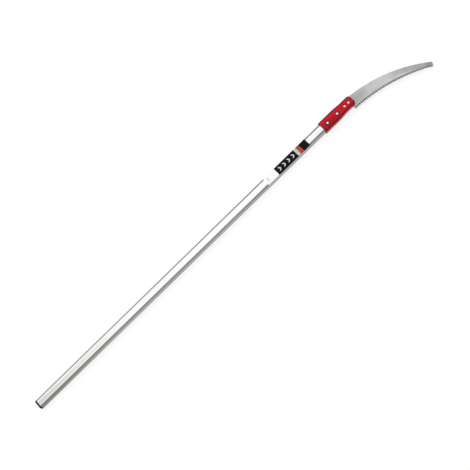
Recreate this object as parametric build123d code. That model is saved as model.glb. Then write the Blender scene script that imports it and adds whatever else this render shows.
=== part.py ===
from build123d import *
import math
import os

# The pole lies along X with its butt face at x = 0 and the blade at the far end.
# The label side faces +Z, the spine of the blade +Y and its teeth -Y. Millimetres.

# Outer pole: a flat-sided oval tube
tube_width = 36.0
tube_depth = 27.0
tube_corner = 9.0
tube_wall = 1.6
tube_length = 1379.5

# Butt cap: a plug whose flange is flush with the tube
butt_flange = 7.0
butt_edge_round = 1.5
butt_spigot_length = 28.0
butt_spigot_wall = 2.5

# Mouth bush: guide sleeve in the upper end of the outer tube
bush_length = 40.0
mouth_flange = 1.0
flange_lip_side = 2.0
flange_lip_face = 0.4
lug_diameter = 6.0
lug_setback = 22.0
lug_sink = 0.2

# Label film on the front flat, folded round its two corners
label_length = 201.5
label_setback = 71.0
label_thickness = 0.15
label_overlap = 5.9

# Inner pole: the tube that slides out and carries the head
pole_gap = 1.4
inner_wall = 1.5
tail_height = 60.0

# Tail bush: cap and guide at the lower end of the inner tube
tail_flange = 5.0
skirt_length = 24.0
tail_spigot_length = 12.0
tail_spigot_wall = 2.5
tail_lug_diameter = 5.0
tail_lug_position = 17.0

# Lock housing: block inside the inner tube, held by a spring pin
housing_position = 20.0
housing_length = 42.0
pin_diameter = 4.0
pin_wall = 0.7
pin_slot = 0.8
pin_position = 53.0
pin_sink = 0.4

# Lock: a sprung button in the housing and a row of holes in the outer tube
lock_position = 38.0
lock_pitch = 250.0
lock_steps = 4
button_diameter = 8.0
button_round = 1.2
button_proud = 2.5
button_sink = 0.4
button_stop_gap = 0.5
shoulder_diameter = 11.0
shoulder_height = 2.0
peg_diameter = 5.0
peg_length = 5.0
lock_hole_gap = 0.3
spring_length = 16.0
spring_wire = 0.9
spring_turns = 6

# Saw head: two shells round the inner tube and the blade's tang
head_length = 147.0
head_cheek = 7.7
head_wall = 4.5
head_straight = 70.0
nose_length = 48.0
nose_cheek = 7.3
nose_corner = 12.0
waist_blend = 60.0
head_edge_round = 10.0
head_rear_round = 0.8
plug_setback = 4.0

# Fasteners through the head: rivets in the inner tube, bolts in the blade's tang,
# on a line a little to the tooth side of the pole's axis
rear_rivet_setback = 24.8
top_rivet_setback = 18.0
rear_bolt_setback = 39.5
nose_bolt_setback = 21.0
fastener_line = -1.9
fastener_diameter = 5.0
fastener_head_diameter = 10.2
fastener_head_height = 2.9
fastener_head_round = 1.9
counterbore_diameter = 12.5
counterbore_depth = 2.4
rivet_washer_height = 0.8
rivet_tail_height = 1.6
rivet_tail_diameter = 8.0
washer_diameter = 10.0
bolt_length = 25.0
bolt_end_proud = 0.2
hex_key = 3.0
hex_key_depth = 1.5
blade_washer_height = 1.0
nut_across_flats = 8.0
nut_height = 5.0
nut_pocket_diameter = 13.0

# Blade: curved pull saw, as reach and drop from the head's nose
blade_thickness = 1.4
tang_width = 26.0
tang_length = 54.0
spine_rise = 16.6
blade_reach = 283.7
tip_drop = 103.7
tip_width = 17.0
tip_slant = 34.75
tip_round = 5.0
spine_bow = 24.1
heel_setback = 16.0
heel_drop = 33.1
edge_bow = 18.6
tooth_pitch = 7.3
tooth_height = 5.2
tooth_flat = 0.5
tooth_lean = 0.18
tooth_bevel_angle = 32.0
gullet_overrun = 1.4
plain_heel = 1.5
plain_tip = 6.0

# Clearances
seat_gap = 0.05
running_gap = 0.3
hole_gap = 0.1
head_gap = 0.3
blade_slot_gap = 0.25
tang_gap = 4.0
smallest_corner = 0.5


def inset(section, gap):
    """Oval section (width, depth, corner radius) moved inwards by a gap, outwards if negative."""
    width, depth, corner = section
    return width - 2 * gap, depth - 2 * gap, max(corner - gap, smallest_corner)


# Sections that follow from the sizes above, each inside the one before
tube_outside = (tube_width, tube_depth, tube_corner)
tube_bore = inset(tube_outside, tube_wall)
inner_outside = inset(tube_bore, pole_gap)
inner_bore = inset(inner_outside, inner_wall)
running_outside = inset(tube_bore, running_gap)
running_inside = inset(inner_outside, -running_gap)

# Places along the pole
tube_start = butt_flange
tube_mouth = tube_start + tube_length
head_rear = tube_mouth + mouth_flange + head_gap
head_nose = head_rear + head_length
tail_end = tail_height
socket_depth = head_length - tang_length - tang_gap
inner_top = head_rear + socket_depth
lock_x = tail_end + lock_position
pin_x = tail_end + pin_position
tail_lug_x = tail_end + tail_lug_position
lug_x = tube_mouth - lug_setback

# Fasteners, as distances from the head's rear face
rivet_positions = (rear_rivet_setback, socket_depth - top_rivet_setback)
bolt_positions = (head_length - rear_bolt_setback, head_length - nose_bolt_setback)

# Head sizes
head_width = inner_outside[0] + 2 * head_cheek
head_half_depth = inner_outside[1] / 2 + head_wall
nose_width = tang_width + 2 * nose_cheek
head_seat = head_half_depth - counterbore_depth
fastener_hole = fastener_diameter + 2 * hole_gap
nut_seat = head_seat - bolt_length + bolt_end_proud + nut_height + blade_washer_height
rivet_seat = -head_half_depth + rivet_tail_height + rivet_washer_height

# Lock sizes, as heights along Y towards the spine side
button_top = tube_bore[0] / 2 - button_sink
button_travel = tube_outside[0] / 2 + button_proud - button_top
shoulder_top = inner_bore[0] / 2 - button_stop_gap - button_travel
shoulder_bottom = shoulder_top - shoulder_height
spring_floor = shoulder_bottom - spring_length


def oval_bar(x_start, x_end, section):
    """Bar of oval section along the pole."""
    width, depth, corner = section
    outline = Plane.YZ.offset(x_start) * RectangleRounded(width, depth, corner)
    return extrude(outline, amount=x_end - x_start)


def cylinder_z(x, z_low, z_high, diameter):
    """Round bar square to the pole's wide faces, on its centre line."""
    disc = Plane(origin=(x, 0, z_low)) * Circle(diameter / 2)
    return extrude(disc, amount=z_high - z_low)


def cylinder_y(x, y_low, y_high, diameter):
    """Round bar square to the pole's narrow sides, on its centre line."""
    disc = Plane(origin=(x, y_low, 0), z_dir=(0, 1, 0)) * Circle(diameter / 2)
    return extrude(disc, amount=y_high - y_low)


def head_holes(positions, z_low, z_high, diameter):
    """Round bars through the head at the given distances from its rear face."""
    bars = [cylinder_z(head_rear + place, z_low, z_high, diameter) for place in positions]
    return [on_fastener_line(bar) for bar in bars]


def on_fastener_line(piece):
    """A piece made on the pole's axis, moved onto the fasteners' line."""
    return Pos(0, fastener_line, 0) * piece


def make_outer_tube():
    """Outer pole tube with its row of lock holes and the hole for the mouth bush's lug."""
    tube = oval_bar(tube_start, tube_mouth, tube_outside) - oval_bar(tube_start, tube_mouth, tube_bore)
    hole = button_diameter + 2 * lock_hole_gap
    for step in range(lock_steps + 1):
        tube -= cylinder_y(lock_x + step * lock_pitch, 0, tube_width, hole)
    tube -= cylinder_z(lug_x, -tube_depth, 0, lug_diameter + 2 * hole_gap)
    return tube


def make_butt_cap():
    """Plug with a flange as large as the tube, rounded at its outer edge, and a hollow spigot."""
    flange = oval_bar(0, butt_flange, tube_outside)
    flange = fillet(flange.faces().sort_by(Axis.X)[0].edges(), butt_edge_round)
    spigot_end = butt_flange + butt_spigot_length
    spigot = inset(tube_bore, seat_gap)
    cap = flange + oval_bar(butt_flange, spigot_end, spigot)
    return cap - oval_bar(butt_flange, spigot_end, inset(spigot, butt_spigot_wall))


def make_mouth_bush():
    """Guide sleeve with a flange over the tube's mouth and a lug that snaps into the tube."""
    sleeve = oval_bar(tube_mouth - bush_length, tube_mouth, inset(tube_bore, seat_gap))
    flange_section = (tube_width + 2 * flange_lip_side, tube_depth + 2 * flange_lip_face, tube_corner)
    flange = oval_bar(tube_mouth, tube_mouth + mouth_flange, flange_section)
    lug_face = -tube_depth / 2 + lug_sink
    lug = cylinder_z(lug_x, lug_face, -inner_outside[1] / 2, lug_diameter)
    bore = oval_bar(tube_mouth - bush_length, head_rear, running_inside)
    return sleeve + flange + lug - bore


def make_label_film():
    """Thin film on the front flat, round all of the spine-side corner and part of the other."""
    label_end = tube_mouth - label_setback
    label_start = label_end - label_length
    outside = inset(tube_outside, -seat_gap - label_thickness)
    film = oval_bar(label_start, label_end, outside)
    film -= oval_bar(label_start, label_end, inset(tube_outside, -seat_gap))
    corner_height = tube_depth / 2 - tube_corner
    tooth_side = -tube_width / 2 + tube_corner - label_overlap
    window = Box(
        label_length,
        tube_width,
        tube_depth,
        align=(Align.MIN, Align.MIN, Align.MIN),
    )
    return film & Pos(label_start, tooth_side, corner_height) * window


def make_inner_tube():
    """Sliding tube with the button's hole and the holes for the lugs, the pin and the rivets."""
    tube = oval_bar(tail_end, inner_top, inner_outside) - oval_bar(tail_end, inner_top, inner_bore)
    tube -= cylinder_z(tail_lug_x, -tube_depth, tube_depth, tail_lug_diameter + 2 * hole_gap)
    tube -= cylinder_y(lock_x, 0, tube_width, button_diameter + 2 * hole_gap)
    tube -= cylinder_z(pin_x, -tube_depth, tube_depth, pin_diameter + 2 * hole_gap)
    return tube - head_holes(rivet_positions, -tube_depth, tube_depth, fastener_hole)


def make_tail_bush():
    """Cap on the inner tube's lower end, with a skirt that guides it in the outer tube.

    Two lugs inside the skirt snap into the tube, and a hollow spigot keeps the tube's walls apart.
    """
    skirt_end = tail_end + skirt_length
    bush = oval_bar(tail_end - tail_flange, skirt_end, running_outside)
    bush -= oval_bar(tail_end, skirt_end, inset(inner_outside, -seat_gap))
    lugs = cylinder_z(tail_lug_x, -tube_bore[1] / 2, tube_bore[1] / 2, tail_lug_diameter)
    lugs &= oval_bar(tail_end, skirt_end, running_outside)
    bush += lugs - oval_bar(tail_end, skirt_end, inset(inner_bore, -hole_gap))
    spigot_end = tail_end + tail_spigot_length
    spigot = inset(inner_bore, seat_gap)
    bush += oval_bar(tail_end, spigot_end, spigot)
    return bush - oval_bar(tail_end, spigot_end, inset(spigot, tail_spigot_wall))


def make_lock_housing():
    """Block in the inner tube with the bore that the button and its spring lie in."""
    start = tail_end + housing_position
    block = oval_bar(start, start + housing_length, inset(inner_bore, seat_gap))
    block -= cylinder_y(lock_x, spring_floor, tube_width, shoulder_diameter + 2 * hole_gap)
    return block - cylinder_z(pin_x, -tube_depth, tube_depth, pin_diameter + 2 * hole_gap)


def make_tail_pin():
    """Slotted spring pin, flush with the inner tube."""
    half = inner_outside[1] / 2 - pin_sink
    pin = cylinder_z(pin_x, -half, half, pin_diameter)
    pin -= cylinder_z(pin_x, -half, half, pin_diameter - 2 * pin_wall)
    slot = Box(pin_diameter, pin_slot, 2 * half, align=(Align.MIN, Align.CENTER, Align.CENTER))
    return pin - Pos(pin_x, 0, 0) * slot


def make_lock_button():
    """Button with the shoulder that keeps it in the tube and the peg that guides its spring."""
    stem = cylinder_y(lock_x, shoulder_top, button_top, button_diameter)
    stem = fillet(stem.edges().group_by(Axis.Y)[-1], button_round)
    shoulder = cylinder_y(lock_x, shoulder_bottom, shoulder_top, shoulder_diameter)
    peg = cylinder_y(lock_x, shoulder_bottom - peg_length, shoulder_bottom, peg_diameter)
    return stem + shoulder + peg


def make_lock_spring():
    """Coil spring between the floor of the housing's bore and the button's shoulder."""
    coil_radius = (peg_diameter + shoulder_diameter) / 4
    coil_height = spring_length - spring_wire - 2 * hole_gap
    start = spring_floor + hole_gap + spring_wire / 2
    coil = Helix(
        pitch=coil_height / spring_turns,
        height=coil_height,
        radius=coil_radius,
        center=(lock_x, start, 0),
        direction=(0, 1, 0),
    )
    wire = Plane(origin=coil @ 0, z_dir=coil % 0) * Circle(spring_wire / 2)
    return sweep(wire, path=coil)


def tooth_line():
    """Arc through the tooth tips, from the heel to the tip of the blade."""
    slant = math.radians(tip_slant)
    tip_x = head_nose + blade_reach - tip_width * math.sin(slant)
    tip_y = -tip_drop - tip_width * math.cos(slant)
    heel = Vector(head_nose - heel_setback, -heel_drop)
    return bowed_arc(heel, Vector(tip_x, tip_y), edge_bow)


def bowed_arc(start, end, bow):
    """Arc from start to end whose middle stands off the chord, towards the spine, by the bow."""
    along = (end - start).normalized()
    middle = (start + end) * 0.5 + Vector(-along.Y, along.X) * bow
    return ThreePointArc(start, middle, end)


def blade_outline():
    """Face of the blade before its teeth are cut, with the tang that lies in the head."""
    edge = tooth_line()
    tang_rear = head_nose - tang_length
    spine_start = Vector(head_nose, spine_rise)
    spine_end = Vector(head_nose + blade_reach, -tip_drop)
    heel = edge @ 0
    tang_top = Vector(tang_rear, tang_width / 2)
    tang_bottom = Vector(tang_rear, -tang_width / 2)
    heel_root = Vector(heel.X, -tang_width / 2)
    outline = [
        Line(tang_top, spine_start),
        bowed_arc(spine_start, spine_end, spine_bow),
        Line(spine_end, edge @ 1),
        edge,
        Line(heel, heel_root),
        Line(heel_root, tang_bottom),
        Line(tang_bottom, tang_top),
    ]
    blank = make_face(outline)
    spine_corner = blank.vertices().sort_by_distance(spine_end)[0]
    return fillet(spine_corner, tip_round)


def make_gullet(edge, start, end, lean_sign):
    """Slanted V between two teeth, ground across the blade at the bevel angle."""
    middle = (start + end) / 2
    along = edge.tangent_at(middle, position_mode=PositionMode.LENGTH)
    inwards = Vector(-along.Y, along.X)
    near = edge.position_at(start, position_mode=PositionMode.LENGTH)
    far = edge.position_at(end, position_mode=PositionMode.LENGTH)
    root = (near + far) * 0.5 + inwards * tooth_height - along * (tooth_lean * tooth_pitch)
    near_end = root + (near - root) * gullet_overrun
    far_end = root + (far - root) * gullet_overrun
    outline = Polyline(root, near_end, far_end, close=True)
    bevel = math.radians(tooth_bevel_angle)
    slant = along * (lean_sign * math.sin(bevel)) + Vector(0, 0, math.cos(bevel))
    half_run = blade_thickness / math.cos(bevel)
    vee = Pos(slant * -half_run) * make_face(outline)
    return extrude(vee, amount=2 * half_run, dir=slant)


def make_saw_blade():
    """Blade with its tang, its two bolt holes and its ground teeth."""
    edge = tooth_line()
    blade = extrude(blade_outline(), amount=blade_thickness / 2, both=True)
    blade -= head_holes(bolt_positions, -blade_thickness, blade_thickness, fastener_hole)
    count = int((edge.length - plain_heel - plain_tip) / tooth_pitch)
    gullets = []
    for tooth in range(count):
        start = plain_heel + tooth * tooth_pitch + tooth_flat / 2
        end = start + tooth_pitch - tooth_flat
        gullets.append(make_gullet(edge, start, end, 1 - 2 * (tooth % 2)))
    return blade - gullets


def head_outline():
    """Plan of the head: straight behind, drawn in to the nose, with round nose corners."""
    wide = head_width / 2
    slim = nose_width / 2
    waist = head_rear + head_straight
    neck = head_nose - nose_length
    half = [(head_rear, wide), (waist, wide), (neck, slim), (head_nose, slim)]
    corners = half + [(x, -y) for x, y in reversed(half)]
    outline = make_face(Polyline(*corners, close=True))
    nose = outline.vertices().group_by(Axis.X)[-1]
    outline = fillet(nose, nose_corner)
    bends = outline.vertices().filter_by_position(Axis.X, waist, neck)
    return fillet(bends, waist_blend)


def shell_blank():
    """Front half of the head, rounded all along its outer edge."""
    half = extrude(head_outline(), amount=head_half_depth)
    rim = half.faces().sort_by(Axis.Z)[-1].edges()
    rear_edge = rim.sort_by(Axis.X)[0]
    half = fillet([e for e in rim if e != rear_edge], head_edge_round)
    rear_face = half.faces().sort_by(Axis.X)[0]
    return fillet(rear_face.edges().sort_by(Axis.Z)[-1], head_rear_round)


def head_cavity():
    """Room for the inner tube and for the blade's tang."""
    socket = oval_bar(head_rear, inner_top, inset(inner_outside, -seat_gap))
    slot_face = offset(blade_outline(), blade_slot_gap)
    return socket + extrude(slot_face, amount=blade_thickness / 2 + seat_gap, both=True)


def make_front_shell():
    """Front shell with the four counterbores that the fastener heads lie in."""
    places = rivet_positions + bolt_positions
    shell = shell_blank() - head_cavity()
    shell -= head_holes(places, 0, head_half_depth, fastener_hole)
    return shell - head_holes(places, head_seat, head_half_depth, counterbore_diameter)


def make_rear_shell():
    """Rear shell with counterbores for the rivet ends and deep pockets for the nuts."""
    shell = mirror(shell_blank(), about=Plane.XY) - head_cavity()
    shell -= head_holes(rivet_positions + bolt_positions, -head_half_depth, 0, fastener_hole)
    shell -= head_holes(rivet_positions, -head_half_depth, rivet_seat, counterbore_diameter)
    return shell - head_holes(bolt_positions, -head_half_depth, nut_seat, nut_pocket_diameter)


def make_tube_plug():
    """Block in the top of the inner tube that the rivets pass through."""
    plug = oval_bar(head_rear + plug_setback, inner_top, inset(inner_bore, seat_gap))
    return plug - head_holes(rivet_positions, -tube_depth, tube_depth, fastener_hole)


def fastener_head(x):
    """Low domed head on the counterbore's floor."""
    head = cylinder_z(x, head_seat, head_seat + fastener_head_height, fastener_head_diameter)
    return fillet(head.edges().group_by(Axis.Z)[-1], fastener_head_round)


def make_pole_rivets():
    """Domed rivets closed over a washer at the back."""
    rivets = []
    for place in rivet_positions:
        x = head_rear + place
        washer_face = rivet_seat - rivet_washer_height
        rivet = fastener_head(x) + cylinder_z(x, washer_face, head_seat, fastener_diameter)
        rivets.append(rivet + cylinder_z(x, -head_half_depth, washer_face, rivet_tail_diameter))
    return Compound([on_fastener_line(rivet.solid()) for rivet in rivets])


def make_blade_bolts():
    """Domed bolts with a hexagon socket."""
    bolts = []
    for place in bolt_positions:
        x = head_rear + place
        top = head_seat + fastener_head_height
        bolt = fastener_head(x) + cylinder_z(x, head_seat - bolt_length, head_seat, fastener_diameter)
        key = Plane(origin=(x, 0, top)) * RegularPolygon(hex_key / 2, 6, major_radius=False)
        bolts.append(bolt - extrude(key, amount=-hex_key_depth))
    return Compound([on_fastener_line(bolt.solid()) for bolt in bolts])


def washers(positions, seat, height):
    """Washers that hang under a seat in the rear shell."""
    rings = head_holes(positions, seat - height, seat, washer_diameter)
    bores = head_holes(positions, seat - height, seat, fastener_hole)
    return Compound([(ring - bore).solid() for ring, bore in zip(rings, bores)])


def make_blade_nuts():
    """Hexagon nuts on the blade bolts."""
    nuts = []
    top = nut_seat - blade_washer_height
    for place in bolt_positions:
        x = head_rear + place
        hexagon = Plane(origin=(x, 0, top)) * RegularPolygon(nut_across_flats / 2, 6, major_radius=False)
        nut = extrude(hexagon, amount=-nut_height)
        nuts.append(nut - cylinder_z(x, top - nut_height, top, fastener_diameter + 2 * seat_gap))
    return Compound([on_fastener_line(nut.solid()) for nut in nuts])


pieces = {
    "outer_tube": make_outer_tube(),
    "butt_cap": make_butt_cap(),
    "mouth_bush": make_mouth_bush(),
    "label_film": make_label_film(),
    "inner_tube": make_inner_tube(),
    "tail_bush": make_tail_bush(),
    "lock_housing": make_lock_housing(),
    "tail_pin": make_tail_pin(),
    "lock_button": make_lock_button(),
    "lock_spring": make_lock_spring(),
    "front_shell": make_front_shell(),
    "rear_shell": make_rear_shell(),
    "tube_plug": make_tube_plug(),
    "saw_blade": make_saw_blade(),
    "pole_rivets": make_pole_rivets(),
    "rivet_washers": washers(rivet_positions, rivet_seat, rivet_washer_height),
    "blade_bolts": make_blade_bolts(),
    "blade_washers": washers(bolt_positions, nut_seat, blade_washer_height),
    "blade_nuts": make_blade_nuts(),
}

os.makedirs("parts", exist_ok=True)
for name, piece in pieces.items():
    export_step(piece, f"parts/{name}.step")
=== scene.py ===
import math

import bpy
import numpy as np
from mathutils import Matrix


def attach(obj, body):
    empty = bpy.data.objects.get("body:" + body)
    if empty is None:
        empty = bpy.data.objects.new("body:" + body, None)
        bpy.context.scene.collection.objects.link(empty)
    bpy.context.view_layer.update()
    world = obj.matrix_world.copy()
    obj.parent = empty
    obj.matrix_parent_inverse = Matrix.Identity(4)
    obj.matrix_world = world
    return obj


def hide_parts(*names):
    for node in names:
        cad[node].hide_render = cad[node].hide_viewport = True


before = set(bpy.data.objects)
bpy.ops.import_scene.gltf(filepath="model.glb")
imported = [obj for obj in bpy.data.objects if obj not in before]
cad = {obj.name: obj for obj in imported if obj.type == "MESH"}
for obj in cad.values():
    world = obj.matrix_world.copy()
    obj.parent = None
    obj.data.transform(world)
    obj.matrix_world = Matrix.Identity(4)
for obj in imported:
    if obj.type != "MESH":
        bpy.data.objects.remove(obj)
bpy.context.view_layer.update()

scene = bpy.context.scene

# Sizes of the saw that the finishes follow, in metres
TUBE_WIDTH, TUBE_DEPTH, TUBE_CORNER = 0.036, 0.027, 0.009
LABEL_START, LABEL_END = 1.114, 1.3155
LABEL_OVERLAP, LABEL_ROUND = 0.0059, 0.003
LABEL_LIFT, LABEL_SKIN = 0.00005, 0.00015
TOOTH_HEEL, TOOTH_TIP = (1.5188, -0.0331), (1.80881, -0.11767)
TOOTH_BOW = 0.0186
TOOTH_START, TOOTH_END = 0.0015, 0.2935
TOOTH_PITCH, TOOTH_HEIGHT, TOOTH_LEAN = 0.0073, 0.0052, 0.2527
RIVETS_X, BOLTS_X = (1.4126, 1.4588), (1.4953, 1.5138)
FASTENER_Y, FASTENER_RADIUS = -0.0019, 0.0051
SHARP_EDGE = math.radians(40.0)

# Floor and lamp, in metres and radians
FLOOR_HEIGHT, FLOOR_HALF, FLOOR_CENTRE = -0.015, 60.0, (0.9, 0.0)
FLOOR_TOP_UP = 0.8
FILL_STRENGTH, FILL_SPREAD = 1.0, math.radians(80.0)
FILL_TURN = (math.radians(-14.0), math.radians(8.0), 0.0)

# Light of the surround, as (direction, level) stops: across the pole from the tooth side to the
# spine side, and along it from the butt to the blade
LIGHT_ACROSS = (
    (-1.0, 0.79), (-0.75, 0.85), (0.04, 0.85), (0.17, 2.05),
    (0.54, 2.05), (0.64, 0.66), (0.8, 0.61), (1.0, 0.61),
)
LIGHT_ALONG = (
    (-1.0, 0.5), (-0.42, 0.66), (-0.333, 0.81), (-0.27, 0.89), (-0.18, 0.99), (-0.1, 1.0),
    (0.2, 1.0), (0.28, 0.94), (0.36, 0.62), (0.5, 0.5), (1.0, 0.46),
)
SCREEN_MIDDLE, SCREEN_SLANT = 0.26, 0.6
SHADE_MIDDLE, SHADE_BESIDE, SHADE_ALONG, SHADE_DEPTH = 0.35, (0.2, 0.33), (-0.05, 0.2), 0.35
HORIZON = (0.06, 0.16)

# Camera: the photo's frame and focal length in pixels, then metres and radians
PHOTO_SIZE, PHOTO_FOCAL = 470.0, 714.0
PHOTO_SLANT = (0.71612, 0.69798)
SENSOR_WIDTH = 36.0
LOOK_AT = (0.90832, -0.05477, 0.0)
CAMERA_DISTANCE, CAMERA_REACH = 2.49, 100.0
CAMERA_TIP = math.radians(15.0)


# Node helpers


def put(tree, node, name, value):
    """Links a socket to a node's input, or sets the input to a plain value."""
    socket = node.inputs[int(name)] if name.isdigit() else node.inputs[name]
    if isinstance(value, bpy.types.NodeSocket):
        tree.links.new(value, socket)
    else:
        socket.default_value = value


def add(tree, kind, settings=None, **inputs):
    """One shader node with its settings and inputs, where an input is a value or another node's socket."""
    node = tree.nodes.new(kind)
    for key, value in (settings or {}).items():
        setattr(node, key, value)
    for key, value in inputs.items():
        put(tree, node, key.replace("_", " "), value)
    return node


def maths(tree, operation, first, second=0.0, third=0.0):
    """Result of one arithmetic node."""
    node = add(tree, "ShaderNodeMath", {"operation": operation})
    for index, value in enumerate((first, second, third)):
        put(tree, node, str(index), value)
    return node.outputs[0]


def times(tree, first, second):
    """Product of two values."""
    return maths(tree, "MULTIPLY", first, second)


def plus(tree, base, value, amount):
    """A base with an amount of a value added to it."""
    return maths(tree, "MULTIPLY_ADD", value, amount, base)


def unsigned(tree, value):
    """A value without its sign."""
    return maths(tree, "ABSOLUTE", value)


def largest(tree, first, *others):
    """The largest of several values."""
    for other in others:
        first = maths(tree, "MAXIMUM", first, other)
    return first


def rise(tree, value, low, high, bottom=0.0, top=1.0):
    """Soft step of a value from bottom at low to top at high."""
    node = add(tree, "ShaderNodeMapRange", {"interpolation_type": "SMOOTHSTEP"}, Value=value)
    limits = {"From Min": low, "From Max": high, "To Min": bottom, "To Max": top}
    for name, number in limits.items():
        put(tree, node, name, number)
    return node.outputs["Result"]


def fall(tree, value, low, high, top=1.0):
    """Soft step of a value from top at low to nothing at high."""
    return rise(tree, value, low, high, top, 0.0)


def band(tree, value, low, high, soft):
    """Mask that is 1 between low and high, with soft edges."""
    up = rise(tree, value, low - soft, low + soft)
    return times(tree, up, fall(tree, value, high - soft, high + soft))


def opaque(colour):
    """A plain tone as a full colour; a socket stays as it is."""
    return colour if isinstance(colour, bpy.types.NodeSocket) else (*colour, 1.0)


def blend(tree, amount, first, second):
    """Colour between two colours by a mask."""
    node = add(tree, "ShaderNodeMix", {"data_type": "RGBA"})
    put(tree, node, "0", amount)
    put(tree, node, "6", opaque(first))
    put(tree, node, "7", opaque(second))
    return node.outputs[2]


def lay(tree, under, mask, strength, tone):
    """Colour with a tone laid over it where a mask says so, at the given strength."""
    return blend(tree, times(tree, mask, strength), under, tone)


def darker(tone, share):
    """A tone brought down to a share of its brightness."""
    return tuple(share * part for part in tone)


def vectors(tree, operation, first, second=None):
    """Result of one vector node: a number for a length, distance or dot product, else a vector."""
    node = add(tree, "ShaderNodeVectorMath", {"operation": operation})
    put(tree, node, "0", first)
    if second is not None:
        put(tree, node, "1", second)
    numbers = ("LENGTH", "DISTANCE", "DOT_PRODUCT")
    return node.outputs["Value" if operation in numbers else "Vector"]


def join(tree, x, y, z=0.0):
    """Vector from three values."""
    return add(tree, "ShaderNodeCombineXYZ", X=x, Y=y, Z=z).outputs["Vector"]


def axes(tree, vector):
    """The three values of a vector, by the names X, Y and Z."""
    return add(tree, "ShaderNodeSeparateXYZ", Vector=vector).outputs


def place(tree):
    """Position on the piece, in metres in the saw's own frame."""
    return add(tree, "ShaderNodeTexCoord").outputs["Object"]


def facing(tree):
    """Which way the surface faces, as three values in the saw's own frame."""
    return axes(tree, add(tree, "ShaderNodeTexCoord").outputs["Normal"])


def stretched(tree, vector, scale):
    """Position with each axis drawn out by its own factor."""
    return add(tree, "ShaderNodeMapping", Vector=vector, Scale=scale).outputs["Vector"]


def noise(tree, vector, scale, detail=2.0, roughness=0.5):
    """Value of a soft noise at a position."""
    node = add(tree, "ShaderNodeTexNoise", Vector=vector, Scale=scale, Detail=detail, Roughness=roughness)
    return node.outputs["Fac"]


def bump(tree, height, depth, strength, below=None):
    """Surface normal tilted by a height field of the given depth in metres."""
    node = add(tree, "ShaderNodeBump", Height=height, Distance=depth, Strength=strength)
    if below is not None:
        put(tree, node, "Normal", below)
    return node.outputs["Normal"]


def finish(name, **constants):
    """Material with one shader, its plain constants set on the shader's own sockets."""
    material = bpy.data.materials.new(name)
    material.use_nodes = True
    shader = material.node_tree.nodes["Principled BSDF"]
    for key, value in constants.items():
        shader.inputs[key.replace("_", " ")].default_value = value
    return material, material.node_tree, shader


def wire(tree, shader, **sockets):
    """Links the painted values to the shader."""
    for key, socket in sockets.items():
        tree.links.new(socket, shader.inputs[key.replace("_", " ")])


# Effects that several finishes share


def new_effect(name, inputs, outputs):
    """Empty node group with named inputs and their first values, and named outputs."""
    group = bpy.data.node_groups.new(name, "ShaderNodeTree")
    for label, (kind, value) in inputs.items():
        socket = group.interface.new_socket(label, in_out="INPUT", socket_type=kind)
        if value is not None:
            socket.default_value = value
    for label in outputs:
        group.interface.new_socket(label, in_out="OUTPUT", socket_type="NodeSocketFloat")
    return group, group.nodes.new("NodeGroupInput").outputs, group.nodes.new("NodeGroupOutput").inputs


def use(tree, effect, **inputs):
    """An effect placed in a material with its own values."""
    node = add(tree, "ShaderNodeGroup", {"node_tree": effect}, **inputs)
    return node.outputs


def make_drawn_lines():
    """Fine lines left by a die or a grinding belt: noise that is long one way and short the other.

    Three noises, broad, fine and hairline, are added by their weights, and the sum is sharpened.
    """
    sockets = {
        "Vector": ("NodeSocketVector", None),
        "Lines": ("NodeSocketFloat", 600.0),
        "Run": ("NodeSocketFloat", 6.0),
    }
    group, given, result = new_effect("drawn_lines", sockets, ["Line"])
    scale = join(group, given["Run"], given["Lines"], given["Lines"])
    at = vectors(group, "MULTIPLY", given["Vector"], scale)
    broad, fine, hairline = (0.22, 1.0, 0.5, 0.35), (1.0, 2.0, 0.6, 0.4), (3.1, 1.0, 0.5, 0.25)
    contrast = (0.32, 0.68)
    total = 0.0
    for fineness, detail, roughness, weight in (broad, fine, hairline):
        total = plus(group, total, noise(group, at, fineness, detail, roughness), weight)
    group.links.new(rise(group, total, *contrast), result["Line"])
    return group


def make_handling():
    """Marks of use: soft smudges, thin crossing scratches and small specks of dust.

    Smudges are a broad noise; scratches are narrow ridges of two noises drawn out in crossing
    directions, kept only where a third noise is high; specks are the cores of small cells.
    """
    sockets = {
        "Vector": ("NodeSocketVector", None),
        "Smudge Scale": ("NodeSocketFloat", 9.0),
        "Scratch Scale": ("NodeSocketFloat", 60.0),
        "Speck Scale": ("NodeSocketFloat", 420.0),
    }
    group, given, result = new_effect("handling", sockets, ["Smudge", "Scratch", "Speck"])
    smudge_edge, ridge_edge, patch_edge, core_edge = (0.4, 0.68), (0.004, 0.016), (0.52, 0.7), (0.1, 0.22)
    crossing = ((0.5, (0.12, 2.6, 1.0)), (-0.9, (0.16, 2.1, 1.0)))
    patch_scale, bare_share = 17.0, 0.82
    at = given["Vector"]
    smudge = noise(group, at, given["Smudge Scale"], 4.0, 0.55)
    group.links.new(rise(group, smudge, *smudge_edge), result["Smudge"])
    ridges = []
    for turn, draw in crossing:
        turned = add(group, "ShaderNodeMapping", Vector=at, Rotation=(0.0, 0.0, turn), Scale=draw)
        value = noise(group, turned.outputs["Vector"], given["Scratch Scale"], 1.0)
        off_ridge = unsigned(group, maths(group, "SUBTRACT", value, 0.5))
        ridges.append(fall(group, off_ridge, *ridge_edge))
    kept = rise(group, noise(group, at, patch_scale), *patch_edge)
    group.links.new(times(group, largest(group, *ridges), kept), result["Scratch"])
    cells = add(group, "ShaderNodeTexVoronoi", Vector=at, Scale=given["Speck Scale"]).outputs
    lot = add(group, "ShaderNodeSeparateColor", Color=cells["Color"]).outputs["Red"]
    chosen = maths(group, "GREATER_THAN", lot, bare_share)
    core = fall(group, cells["Distance"], *core_edge)
    group.links.new(times(group, core, chosen), result["Speck"])
    return group


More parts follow.
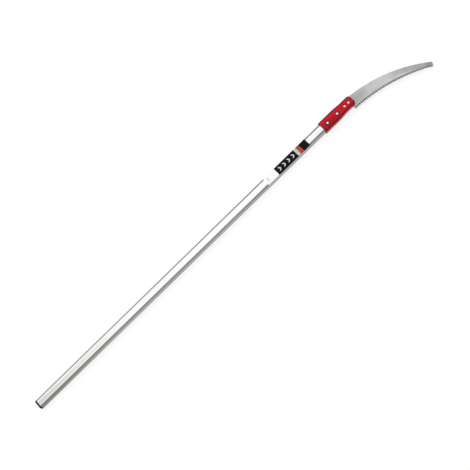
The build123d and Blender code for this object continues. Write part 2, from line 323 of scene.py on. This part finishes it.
def make_moulded_skin():
    """Skin of a moulded plastic: fine spark grain, a slow ripple and pale flow streaks along the pole."""
    sockets = {
        "Vector": ("NodeSocketVector", None),
        "Grain Scale": ("NodeSocketFloat", 2600.0),
        "Ripple Scale": ("NodeSocketFloat", 120.0),
    }
    group, given, result = new_effect("moulded_skin", sockets, ["Grain", "Ripple", "Flow"])
    at = given["Vector"]
    group.links.new(noise(group, at, given["Grain Scale"], 2.0, 0.6), result["Grain"])
    group.links.new(noise(group, at, given["Ripple Scale"], 1.0), result["Ripple"])
    flow_draw, flow_scale, flow_edge = (0.35, 1.0, 1.0), 55.0, (0.35, 0.7)
    flow = noise(group, stretched(group, at, flow_draw), flow_scale, 3.0, 0.6)
    group.links.new(rise(group, flow, *flow_edge), result["Flow"])
    return group


def make_rim_wear():
    """Mask of worn rims: where the surface turns away within a small radius, broken up by noise."""
    sockets = {
        "Vector": ("NodeSocketVector", None),
        "Radius": ("NodeSocketFloat", 0.0008),
        "Break Scale": ("NodeSocketFloat", 260.0),
    }
    group, given, result = new_effect("rim_wear", sockets, ["Rim"])
    turn_edge, break_edge = (0.8, 0.99), (0.38, 0.62)
    softened = add(group, "ShaderNodeBevel", {"samples": 4}, Radius=given["Radius"]).outputs["Normal"]
    true = add(group, "ShaderNodeNewGeometry").outputs["Normal"]
    rim = fall(group, vectors(group, "DOT_PRODUCT", softened, true), *turn_edge)
    broken = rise(group, noise(group, given["Vector"], given["Break Scale"], 3.0, 0.6), *break_edge)
    group.links.new(times(group, rim, broken), result["Rim"])
    return group


drawn_lines = make_drawn_lines()
handling = make_handling()
moulded_skin = make_moulded_skin()
rim_wear = make_rim_wear()


# Finishes


def dull_lower_end(tree, at, colour):
    """Colour of a pole with painted shade at its lower end.

    The flats turn a little warm towards the butt. Painted shade darkens their middle and the pole's
    sides, most at the butt and less on the spine side. A painted dark line of shade runs all along
    the tooth-side corners.
    """
    warm, dark = (0.53, 0.535, 0.47), (0.20, 0.202, 0.194)
    warm_run, middle_run, side_run = (0.05, 0.5), (0.0, 0.5), (-0.05, 0.46)
    middle_half, corner_shade_line, corner_soft = (0.001, 0.008), (-0.0114, -0.0080), 0.0012
    flat_edge, spine_turn = (0.80, 0.97), (-0.2, 0.2)
    spot = axes(tree, at)
    turned = facing(tree)
    flat = rise(tree, unsigned(tree, turned["Z"]), *flat_edge)
    tint = times(tree, flat, fall(tree, spot["X"], *warm_run, 0.6))
    colour = blend(tree, tint, colour, warm)
    middle = fall(tree, unsigned(tree, spot["Y"]), *middle_half)
    middle = times(tree, middle, fall(tree, spot["X"], *middle_run, 0.42))
    side = maths(tree, "SUBTRACT", 1.0, flat)
    side = times(tree, side, rise(tree, turned["Y"], *spine_turn, 1.0, 0.4))
    side = times(tree, side, fall(tree, spot["X"], *side_run, 0.6))
    corner = times(tree, band(tree, spot["Y"], *corner_shade_line, corner_soft), 0.42)
    return blend(tree, largest(tree, middle, side, corner), colour, dark)


def make_pole_aluminium(name, lines, tone, rough, slide_marks, lower_end_shade):
    """Extruded satin aluminium: die lines along the pole, faint smudges, slide marks where tubes rub."""
    satin = {"Metallic": 1.0, "Anisotropic": 0.35, "Specular_Tint": (0.45, 0.45, 0.45, 1.0)}
    worn = (0.85, 0.85, 0.84)
    material, tree, shader = finish(name, **satin)
    at = place(tree)
    drawn_out = stretched(tree, at, (0.3, 1.0, 1.0))
    line = use(tree, drawn_lines, Vector=at, Lines=lines, Run=1.5)["Line"]
    marks = use(tree, handling, Vector=drawn_out, Smudge_Scale=9.0, Scratch_Scale=45.0)
    rim = use(tree, rim_wear, Vector=at, Radius=0.0006)["Rim"]
    colour = blend(tree, line, tone, darker(tone, 0.93))
    colour = lay(tree, colour, marks["Smudge"], 0.25, darker(tone, 0.86))
    colour = lay(tree, colour, rim, 0.5, worn)
    # Painted shade: darker middle and sides at the lower end, and a dark line along the tooth-side corners
    if lower_end_shade:
        colour = dull_lower_end(tree, at, colour)
    roughness = plus(tree, rough, line, 0.04)
    roughness = plus(tree, roughness, marks["Smudge"], 0.05)
    roughness = plus(tree, roughness, marks["Scratch"], slide_marks)
    height = plus(tree, line, marks["Scratch"], -0.6)
    normal = bump(tree, height, depth=0.000006, strength=0.3)
    wire(tree, shader, Base_Color=colour, Roughness=roughness, Normal=normal)
    return material


def make_black_plastic():
    """Matt black moulded plastic with a spark grain, scuffed grey along its rims."""
    deep, streak = (0.008, 0.008, 0.009), (0.015, 0.015, 0.016)
    scuffed, dust = (0.04, 0.04, 0.039), (0.22, 0.21, 0.19)
    material, tree, shader = finish("black_plastic", IOR=1.48, Specular_IOR_Level=0.05)
    at = place(tree)
    skin = use(tree, moulded_skin, Vector=at)
    marks = use(tree, handling, Vector=at, Smudge_Scale=40.0)
    rim = use(tree, rim_wear, Vector=at, Radius=0.0012, Break_Scale=420.0)["Rim"]
    colour = blend(tree, skin["Flow"], deep, streak)
    colour = lay(tree, colour, rim, 0.4, scuffed)
    colour = lay(tree, colour, marks["Speck"], 0.12, dust)
    roughness = plus(tree, 0.42, skin["Grain"], 0.16)
    roughness = plus(tree, roughness, marks["Smudge"], 0.08)
    normal = bump(tree, skin["Grain"], depth=0.00003, strength=0.5)
    wire(tree, shader, Base_Color=colour, Roughness=roughness, Normal=normal)
    return material


def fastener_grime(tree, spot, flow):
    """Mask of painted shade round the fastener heads, wide at the rivets and narrow at the bolts.

    It falls off softly with the distance from each head's middle, and wanders with the flow streaks.
    """
    rivet_reach, bolt_reach, wandering = 0.0066, 0.0024, 0.0012
    flat = join(tree, spot["X"], spot["Y"])
    rings = []
    for x in RIVETS_X + BOLTS_X:
        reach = rivet_reach if x in RIVETS_X else bolt_reach
        gap = vectors(tree, "DISTANCE", flat, (x, FASTENER_Y, 0.0))
        gap = plus(tree, gap, flow, wandering)
        rings.append(fall(tree, gap, FASTENER_RADIUS, FASTENER_RADIUS + reach, 0.85))
    return largest(tree, *rings)


def make_red_plastic():
    """Glossy red moulded plastic with flow streaks, painted shade on the shoulders, glossy sides and worn
    rims.

    Painted shade deepens the red towards the tooth side, less so near the blade, and rings the fastener
    heads. A dark line marks the joint between the two shells.
    """
    red, streak, deep = (0.50, 0.005, 0.015), (0.60, 0.008, 0.022), (0.26, 0.003, 0.012)
    shoulder_shade_red, spine_shade_red = (0.24, 0.003, 0.009), (0.10, 0.001, 0.004)
    fastener_shade_red, joint_red = (0.10, 0.001, 0.004), (0.05, 0.002, 0.004)
    worn, scratched = (0.74, 0.10, 0.10), (0.72, 0.16, 0.16)
    tooth_side_shade_fade, tooth_side_shade_wandering, nose_fade = (-0.006, 0.010), -0.006, (1.43, 1.48)
    joint_half, gloss_edge = (0.00010, 0.00028), (0.2, 0.8)
    shoulder_shade_edge, flat_edge, spine_edge = (0.25, 0.6), (0.90, 0.99), (0.15, 0.5)
    material, tree, shader = finish("red_plastic", IOR=1.5, Specular_IOR_Level=0.1, Coat_Roughness=0.2)
    at = place(tree)
    spot = axes(tree, at)
    turned = facing(tree)
    flat = unsigned(tree, turned["Z"])
    spine_side = largest(tree, turned["Y"], 0.0)
    open_side = maths(tree, "ADD", flat, spine_side)
    skin = use(tree, moulded_skin, Vector=at, Ripple_Scale=70.0)
    marks = use(tree, handling, Vector=at, Smudge_Scale=26.0, Scratch_Scale=90.0)
    rim = use(tree, rim_wear, Vector=at, Radius=0.0007, Break_Scale=300.0)["Rim"]
    colour = blend(tree, skin["Flow"], red, streak)
    # Painted shade: the red deepens towards the tooth side, less near the blade
    tooth_side_shade = fall(tree, plus(tree, spot["Y"], skin["Flow"], tooth_side_shade_wandering), *tooth_side_shade_fade, 0.75)
    tooth_side_shade = times(tree, tooth_side_shade, rise(tree, spot["X"], *nose_fade, 1.0, 0.55))
    colour = blend(tree, tooth_side_shade, colour, deep)
    # Painted shade on the rounded shoulders
    shoulder_shade = times(tree, rise(tree, open_side, *shoulder_shade_edge), fall(tree, flat, *flat_edge))
    colour = lay(tree, colour, shoulder_shade, 0.8, shoulder_shade_red)
    # Painted shade, darker still on the spine-side shoulder
    colour = blend(tree, rise(tree, spine_side, *spine_edge, 0.0, 0.75), colour, spine_shade_red)
    # Painted shade round the fastener heads
    colour = blend(tree, fastener_grime(tree, spot, skin["Flow"]), colour, fastener_shade_red)
    colour = lay(tree, colour, rim, 0.55, worn)
    colour = lay(tree, colour, marks["Scratch"], 0.30, scratched)
    joint = fall(tree, unsigned(tree, spot["Z"]), *joint_half, 0.8)
    colour = blend(tree, joint, colour, joint_red)
    roughness = plus(tree, 0.32, marks["Smudge"], 0.10)
    roughness = plus(tree, roughness, marks["Scratch"], 0.2)
    gloss = fall(tree, open_side, *gloss_edge)
    normal = bump(tree, skin["Ripple"], depth=0.00012, strength=0.35)
    normal = bump(tree, skin["Grain"], depth=0.000008, strength=0.4, below=normal)
    wire(tree, shader, Base_Color=colour, Roughness=roughness, Coat_Weight=gloss, Normal=normal)
    return material


def tooth_circle():
    """Centre and radius of the arc through the tooth tips, from its two ends and its bow."""
    start, end = np.array(TOOTH_HEEL), np.array(TOOTH_TIP)
    chord = end - start
    half = np.linalg.norm(chord) / 2
    along = chord / (2 * half)
    radius = (half ** 2 + TOOTH_BOW ** 2) / (2 * TOOTH_BOW)
    normal = np.array((-along[1], along[0]))
    centre = (start + end) / 2 + normal * (TOOTH_BOW - radius)
    return centre.tolist(), float(radius)


def blade_chart(tree, at):
    """Place on the blade, counted along the tooth arc from the heel, in from the arc and through the steel.

    The distance from the arc's centre, less its radius, counts inwards; the angle from the heel
    times the radius counts along.
    """
    centre, radius = tooth_circle()
    heel_angle = math.atan2(TOOTH_HEEL[1] - centre[1], TOOTH_HEEL[0] - centre[0])
    off = axes(tree, vectors(tree, "SUBTRACT", at, (*centre, 0.0)))
    reach = vectors(tree, "LENGTH", join(tree, off["X"], off["Y"]))
    inwards = maths(tree, "SUBTRACT", reach, radius)
    angle = maths(tree, "ARCTAN2", off["Y"], off["X"])
    along = times(tree, maths(tree, "SUBTRACT", heel_angle, angle), radius)
    return along, inwards, off["Z"]


def harden_teeth(tree, along, inwards, wander, colour):
    """Colour of a blade with a dark tooth edge in a bright border, partly heat darkening and partly painted
    shade of the ground tooth facets.

    Each tooth was hardened by itself and its ground facets carry painted shade, so the dark edge runs
    in tongues: its depth follows a soft step of a cosine with one tooth to a turn. The tongues lean with
    the teeth up to the gullets and run square to the edge from there. They get shorter towards the tip, and
    the border fades.
    """
    polished, straw, blue = (0.82, 0.825, 0.81), (0.46, 0.40, 0.29), (0.05, 0.053, 0.06)
    gullet_depth, heel_tongue, tip_tongue = 0.0042, 0.0146, 0.0088
    tongue_edge, shortening, end_fade = (-0.6, 1.0), (0.15, 0.23), 0.004
    border_line, border_soft = (0.0083, 0.0142), 0.0022
    border_gain, border_fade = (0.08, 0.12), (0.16, 0.25)
    fringe_line, fringe_soft, heat_edge = (0.0006, 0.0014), 0.0006, (-0.0010, 0.0008)
    border = band(tree, wander, *border_line, border_soft)
    border = times(tree, border, rise(tree, along, *border_gain, 0.52, 0.8))
    border = times(tree, border, rise(tree, along, *border_fade, 1.0, 0.05))
    colour = blend(tree, border, colour, polished)
    leaning = maths(tree, "MINIMUM", inwards, TOOTH_HEIGHT)
    walked = plus(tree, maths(tree, "SUBTRACT", along, TOOTH_START), leaning, TOOTH_LEAN)
    tongue = maths(tree, "COSINE", times(tree, walked, math.tau / TOOTH_PITCH))
    longest = rise(tree, along, *shortening, heel_tongue, tip_tongue)
    past = maths(tree, "SUBTRACT", wander, rise(tree, tongue, *tongue_edge, gullet_depth, longest))
    toothed = fall(tree, along, TOOTH_END, TOOTH_END + end_fade)
    fringe = times(tree, band(tree, past, *fringe_line, fringe_soft), toothed)
    colour = lay(tree, colour, fringe, 0.3, straw)
    # Dark tongues: partly heat darkening, partly painted shade of the ground tooth facets
    heat_and_facet_shade = times(tree, fall(tree, past, *heat_edge), toothed)
    return lay(tree, colour, heat_and_facet_shade, 0.95, blue)


def make_blade_steel():
    """Satin ground saw steel: belt lines along and across the blade, hardened teeth with painted facet
    shade, polished rims.

    Lines and teeth follow the arc through the tooth tips. Painted shade darkens the steel towards
    the head and the tip.
    """
    pale, lined, crossed = (0.56, 0.565, 0.55), (0.465, 0.47, 0.455), (0.36, 0.363, 0.35)
    smudged, dull, polished = (0.37, 0.37, 0.355), (0.24, 0.24, 0.235), (0.80, 0.80, 0.79)
    head_end, tip_ends = (0.01, 0.09, 0.5), ((0.13, 0.31, 0.58), (0.255, 0.295, 0.74))
    wander_scale, wander_depth = 160.0, 0.0012
    material, tree, shader = finish("blade_steel", Metallic=1.0, Anisotropic=0.3)
    at = place(tree)
    along, inwards, through = blade_chart(tree, at)
    ground = join(tree, along, inwards, through)
    turned = join(tree, inwards, along, through)
    line = use(tree, drawn_lines, Vector=ground, Lines=900.0, Run=14.0)["Line"]
    cross = use(tree, drawn_lines, Vector=turned, Lines=330.0, Run=16.0)["Line"]
    marks = use(tree, handling, Vector=at, Smudge_Scale=22.0, Scratch_Scale=80.0)
    rim = use(tree, rim_wear, Vector=at, Radius=0.0004, Break_Scale=500.0)["Rim"]
    colour = blend(tree, line, pale, lined)
    colour = lay(tree, colour, cross, 0.3, crossed)
    colour = lay(tree, colour, marks["Smudge"], 0.25, smudged)
    # Painted shade: the steel is darker towards the head and the tip
    end_shade = fall(tree, along, *head_end)
    for start, end, amount in tip_ends:
        end_shade = largest(tree, end_shade, rise(tree, along, start, end, 0.0, amount))
    colour = blend(tree, end_shade, colour, dull)
    wander = plus(tree, inwards, noise(tree, ground, wander_scale), wander_depth)
    colour = harden_teeth(tree, along, inwards, wander, colour)
    colour = lay(tree, colour, rim, 0.5, polished)
    roughness = plus(tree, 0.36, line, 0.08)
    roughness = plus(tree, roughness, marks["Smudge"], 0.06)
    height = plus(tree, line, marks["Scratch"], -0.8)
    normal = bump(tree, height, depth=0.00001, strength=0.35)
    wire(tree, shader, Base_Color=colour, Roughness=roughness, Normal=normal)
    return material


def make_plated_steel(name, bright, dull, rough):
    """Plated or bare fastener metal: cloudy tone, tiny scratches, polished rims."""
    polished = (0.92, 0.92, 0.91)
    material, tree, shader = finish(name, Metallic=1.0)
    at = place(tree)
    cloud = noise(tree, at, 320.0, 3.0, 0.6)
    marks = use(tree, handling, Vector=at, Scratch_Scale=320.0)
    rim = use(tree, rim_wear, Vector=at, Radius=0.0004, Break_Scale=900.0)["Rim"]
    colour = blend(tree, cloud, bright, dull)
    colour = lay(tree, colour, rim, 0.5, polished)
    roughness = plus(tree, rough, cloud, 0.14)
    roughness = plus(tree, roughness, marks["Scratch"], 0.15)
    height = plus(tree, cloud, marks["Scratch"], -0.5)
    normal = bump(tree, height, depth=0.00001, strength=0.4)
    wire(tree, shader, Base_Color=colour, Roughness=roughness, Normal=normal)
    return material


def make_label_print():
    """Printed film: a pale field with hairlines, a black one with arrow marks, silver and warm bars.

    The print reads the film's own map, whose first number runs along the label and whose second
    runs round the pole, both in metres. The print itself is laid out in millimetres.
    """
    pale, black = (0.93, 0.93, 0.92), (0.005, 0.005, 0.006)
    silver, warm = (0.52, 0.53, 0.53), (0.72, 0.10, 0.025)
    arrow_grey, hair_grey, scratched = (0.55, 0.55, 0.55), (0.25, 0.25, 0.26), (0.5, 0.5, 0.5)
    millimetres, crisp, soft = 1000.0, 0.15, 0.2
    black_field, silver_bar = (52.0, 202.0), (146.0, 158.0)
    warm_bars, bar_width = (160.5, 167.0), 4.0
    arrow_field, arrow_stroke, arrow_pitch = (60.0, 138.0), (6.0, 12.0), 21.0
    arrow_slope, arrow_half, arrow_middle = 0.8, 7.5, 16.0
    hairs, hair_width, hair_span = (8.0, 12.0, 16.0), 1.0, (8.0, 25.0)
    material, tree, shader = finish("label_print", IOR=1.46, Specular_IOR_Level=0.06)
    spot = axes(tree, add(tree, "ShaderNodeUVMap", {"uv_map": "print"}).outputs["UV"])
    along = times(tree, spot["X"], millimetres)
    round_pole = times(tree, spot["Y"], millimetres)
    at = place(tree)
    marks = use(tree, handling, Vector=at, Smudge_Scale=30.0, Scratch_Scale=110.0)
    colour = blend(tree, band(tree, along, *black_field, crisp), pale, black)
    colour = blend(tree, band(tree, along, *silver_bar, crisp), colour, silver)
    for start in warm_bars:
        colour = blend(tree, band(tree, along, start, start + bar_width, crisp), colour, warm)
    off_middle = unsigned(tree, maths(tree, "SUBTRACT", round_pole, arrow_middle))
    arrow = maths(tree, "MODULO", plus(tree, along, off_middle, arrow_slope), arrow_pitch)
    arrow = band(tree, arrow, *arrow_stroke, soft)
    arrow = times(tree, arrow, fall(tree, off_middle, arrow_half - soft, arrow_half + soft))
    arrow = times(tree, arrow, band(tree, along, *arrow_field, soft))
    colour = blend(tree, arrow, colour, arrow_grey)
    printed = band(tree, round_pole, *hair_span, soft)
    for start in hairs:
        hair = times(tree, band(tree, along, start, start + hair_width, crisp), printed)
        colour = blend(tree, hair, colour, hair_grey)
    colour = lay(tree, colour, marks["Scratch"], 0.3, scratched)
    roughness = plus(tree, 0.3, marks["Smudge"], 0.15)
    normal = bump(tree, noise(tree, at, 90.0, 1.0), depth=0.00008, strength=0.3)
    wire(tree, shader, Base_Color=colour, Roughness=roughness, Normal=normal)
    return material


# New pieces


def tube_path(lift, count):
    """Path round the tube's front, from the tooth-side corner to the end of the spine-side corner.

    Part of a circle, straight over the front flat, then a quarter circle, all at a lift above the
    tube; gives the points (y, z) and the length walked to each.
    """
    radius = TUBE_CORNER + lift
    flat = TUBE_WIDTH - 2 * TUBE_CORNER
    lead = math.asin(LABEL_OVERLAP / radius)
    walked = np.linspace(0.0, radius * lead + flat + radius * math.pi / 2, count)
    over_flat = np.clip(walked - radius * lead, 0.0, flat)
    angle = (walked - over_flat) / radius - lead
    y = over_flat - flat / 2 + radius * np.sin(angle)
    z = TUBE_DEPTH / 2 - TUBE_CORNER + radius * np.cos(angle)
    return y, z, walked


def grid_faces(index):
    """Four-sided faces between neighbouring points of a grid of point numbers."""
    corners = [index[:-1, :-1], index[1:, :-1], index[1:, 1:], index[:-1, 1:]]
    return np.stack(corners, axis=-1).reshape(-1, 4)


def mesh_piece(name, points, faces, chart):
    """Smooth piece from arrays of points and faces, with a map of the surface in metres."""
    mesh = bpy.data.meshes.new(name)
    mesh.from_pydata(points.tolist(), [], faces.tolist())
    corners = np.empty(len(mesh.loops), dtype=np.int32)
    mesh.loops.foreach_get("vertex_index", corners)
    layer = mesh.uv_layers.new(name="print")
    layer.data.foreach_set("uv", chart[corners].astype(np.float32).ravel())
    mesh.polygons.foreach_set("use_smooth", np.ones(len(mesh.polygons), dtype=bool))
    mesh.set_sharp_from_angle(angle=SHARP_EDGE)
    mesh.update()
    piece = bpy.data.objects.new(name, mesh)
    scene.collection.objects.link(piece)
    return piece


def make_label_sheet():
    """Label film with round corners, as a closed skin.

    At each place round the pole the film runs from start to end, drawn in at the two long edges by
    the quarter circle of its corners; the outer face lies one film thickness above the inner one.
    """
    steps, rounds = 49, 65
    share = np.linspace(0.0, 1.0, steps)[:, None]
    skins = []
    for lift in (LABEL_LIFT + LABEL_SKIN, LABEL_LIFT):
        y, z, walked = tube_path(lift, rounds)
        inset = np.clip(LABEL_ROUND - np.minimum(walked, walked[-1] - walked), 0.0, LABEL_ROUND)
        draw = LABEL_ROUND - np.sqrt(LABEL_ROUND ** 2 - inset ** 2)
        x = LABEL_START + draw + share * (LABEL_END - LABEL_START - 2 * draw)
        skins.append(np.stack(np.broadcast_arrays(x, y, z), axis=-1).reshape(-1, 3))
    points = np.concatenate(skins)
    index = np.arange(steps * rounds).reshape(steps, rounds)
    rim = np.concatenate([index[:, 0], index[-1, 1:], index[-2::-1, -1], index[0, -2:0:-1]])
    under = rim + steps * rounds
    walls = np.stack([rim, np.roll(rim, -1), np.roll(under, -1), under], axis=1)
    faces = np.concatenate([grid_faces(index)[:, ::-1], grid_faces(index + steps * rounds), walls])
    chart = np.column_stack([points[:, 0] - LABEL_START, np.tile(walked, 2 * steps)])
    return mesh_piece("label_sheet", points, faces, chart)


# Dressing the saw


def dress(material, *names):
    """Gives CAD nodes their finish."""
    for name in names:
        cad[name].data.materials.clear()
        cad[name].data.materials.append(material)


pole_aluminium = make_pole_aluminium(
    "pole_aluminium", lines=320.0, tone=(0.53, 0.53, 0.525), rough=0.13, slide_marks=0.04, lower_end_shade=True)
slide_aluminium = make_pole_aluminium(
    "slide_aluminium", lines=420.0, tone=(0.60, 0.60, 0.595), rough=0.18, slide_marks=0.12, lower_end_shade=False)
zinc = make_plated_steel("zinc_steel", bright=(0.56, 0.555, 0.54), dull=(0.46, 0.455, 0.445), rough=0.2)
bolt_zinc = make_plated_steel("bolt_zinc", bright=(0.64, 0.55, 0.49), dull=(0.53, 0.45, 0.40), rough=0.2)
rivets = make_plated_steel("rivet_aluminium", bright=(0.63, 0.54, 0.53), dull=(0.55, 0.47, 0.46), rough=0.2)
spring = make_plated_steel("spring_steel", bright=(0.50, 0.50, 0.51), dull=(0.34, 0.34, 0.36), rough=0.26)

dress(pole_aluminium, "outer_tube")
dress(slide_aluminium, "inner_tube")
dress(make_black_plastic(), "butt_cap", "mouth_bush", "tail_bush", "lock_housing", "tube_plug")
dress(make_red_plastic(), "front_shell", "rear_shell")
dress(make_blade_steel(), "saw_blade")
dress(zinc, "blade_washers", "blade_nuts", "rivet_washers", "tail_pin", "lock_button")
dress(bolt_zinc, "blade_bolts")
dress(rivets, "pole_rivets")
dress(spring, "lock_spring")

label = make_label_sheet()
label.data.materials.append(make_label_print())
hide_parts("label_film")
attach(label, "outer_pole")


# Studio


def make_floor():
    """Pale floor whose own white is topped up for the eye and for reflections, and keeps its shadows."""
    corners = np.array([(-1, -1), (1, -1), (1, 1), (-1, 1)]) * FLOOR_HALF + FLOOR_CENTRE
    points = np.column_stack([corners, np.full(4, FLOOR_HEIGHT)])
    mesh = bpy.data.meshes.new("floor")
    mesh.from_pydata(points.tolist(), [], [(0, 1, 2, 3)])
    floor = bpy.data.objects.new("floor", mesh)
    scene.collection.objects.link(floor)
    paper = {"Roughness": 0.9, "Specular_IOR_Level": 0.0, "Emission_Color": (1.0, 1.0, 1.0, 1.0)}
    material, tree, shader = finish("floor_paper", **paper)
    grain = noise(tree, place(tree), 14.0, 3.0)
    colour = blend(tree, grain, (0.19, 0.19, 0.19), (0.21, 0.21, 0.21))
    rays = add(tree, "ShaderNodeLightPath").outputs
    seen = largest(tree, rays["Is Camera Ray"], rays["Is Glossy Ray"], rays["Is Transmission Ray"])
    wire(tree, shader, Base_Color=colour, Emission_Strength=times(tree, seen, FLOOR_TOP_UP))
    mesh.materials.append(material)


def ramp(tree, value, stops):
    """Grey level that follows a list of (value, level) stops, with values from -1 to 1."""
    node = add(tree, "ShaderNodeValToRGB", Fac=plus(tree, 0.5, value, 0.5))
    elements = node.color_ramp.elements
    while len(elements) < len(stops):
        elements.new(0.5)
    for element, (at, level) in zip(elements, stops):
        element.position = (at + 1.0) / 2.0
        element.color = (level, level, level, 1.0)
    return node.outputs["Color"]


def make_sky():
    """Soft studio surround: a bright slanting screen over the spine side, and white at the horizon.

    It is dimmer towards both ends of the pole, and dimmer again beside the screen on the blade's side.
    """
    world = bpy.data.worlds.new("studio")
    world.use_nodes = True
    tree = world.node_tree
    way = axes(tree, add(tree, "ShaderNodeTexCoord").outputs["Generated"])
    slanted = plus(tree, way["X"], maths(tree, "SUBTRACT", way["Y"], SCREEN_MIDDLE), SCREEN_SLANT)
    level = times(tree, ramp(tree, way["Y"], LIGHT_ACROSS), ramp(tree, slanted, LIGHT_ALONG))
    beside = unsigned(tree, maths(tree, "SUBTRACT", way["Y"], SHADE_MIDDLE))
    shade = rise(tree, way["X"], *SHADE_ALONG, 0.0, SHADE_DEPTH)
    shade = times(tree, rise(tree, beside, *SHADE_BESIDE), shade)
    level = times(tree, level, maths(tree, "SUBTRACT", 1.0, shade))
    sky = blend(tree, fall(tree, way["Z"], *HORIZON), level, (1.0, 1.0, 1.0))
    tree.links.new(sky, tree.nodes["Background"].inputs["Color"])
    scene.world = world


def make_fill():
    """Broad soft lamp from above, a little to the spine side, without a mirror image of its own."""
    lamp = bpy.data.lights.new("fill", "SUN")
    lamp.energy = FILL_STRENGTH
    lamp.angle = FILL_SPREAD
    fill = bpy.data.objects.new("fill", lamp)
    fill.rotation_euler = FILL_TURN
    fill.visible_glossy = False
    scene.collection.objects.link(fill)


def make_camera():
    """Camera square on to the pole, tipped a little to the tooth side and rolled to the photo's slant."""
    back = np.array((0.0, -math.sin(CAMERA_TIP), math.cos(CAMERA_TIP)))
    down = np.array((0.0, -math.cos(CAMERA_TIP), -math.sin(CAMERA_TIP)))
    pole = np.array((1.0, 0.0, 0.0))
    right = PHOTO_SLANT[0] * pole + PHOTO_SLANT[1] * down
    up = PHOTO_SLANT[1] * pole - PHOTO_SLANT[0] * down
    eye = np.array(LOOK_AT) + CAMERA_DISTANCE * back
    lens = bpy.data.cameras.new("camera")
    lens.sensor_width = SENSOR_WIDTH
    lens.lens = SENSOR_WIDTH * PHOTO_FOCAL / PHOTO_SIZE
    lens.clip_end = CAMERA_REACH
    camera = bpy.data.objects.new("camera", lens)
    pose = np.eye(4)
    pose[:3] = np.column_stack([right, up, back, eye])
    camera.matrix_world = pose.T.tolist()
    scene.collection.objects.link(camera)
    scene.camera = camera


make_floor()
make_sky()
make_fill()
make_camera()
scene.view_settings.view_transform = "Standard"
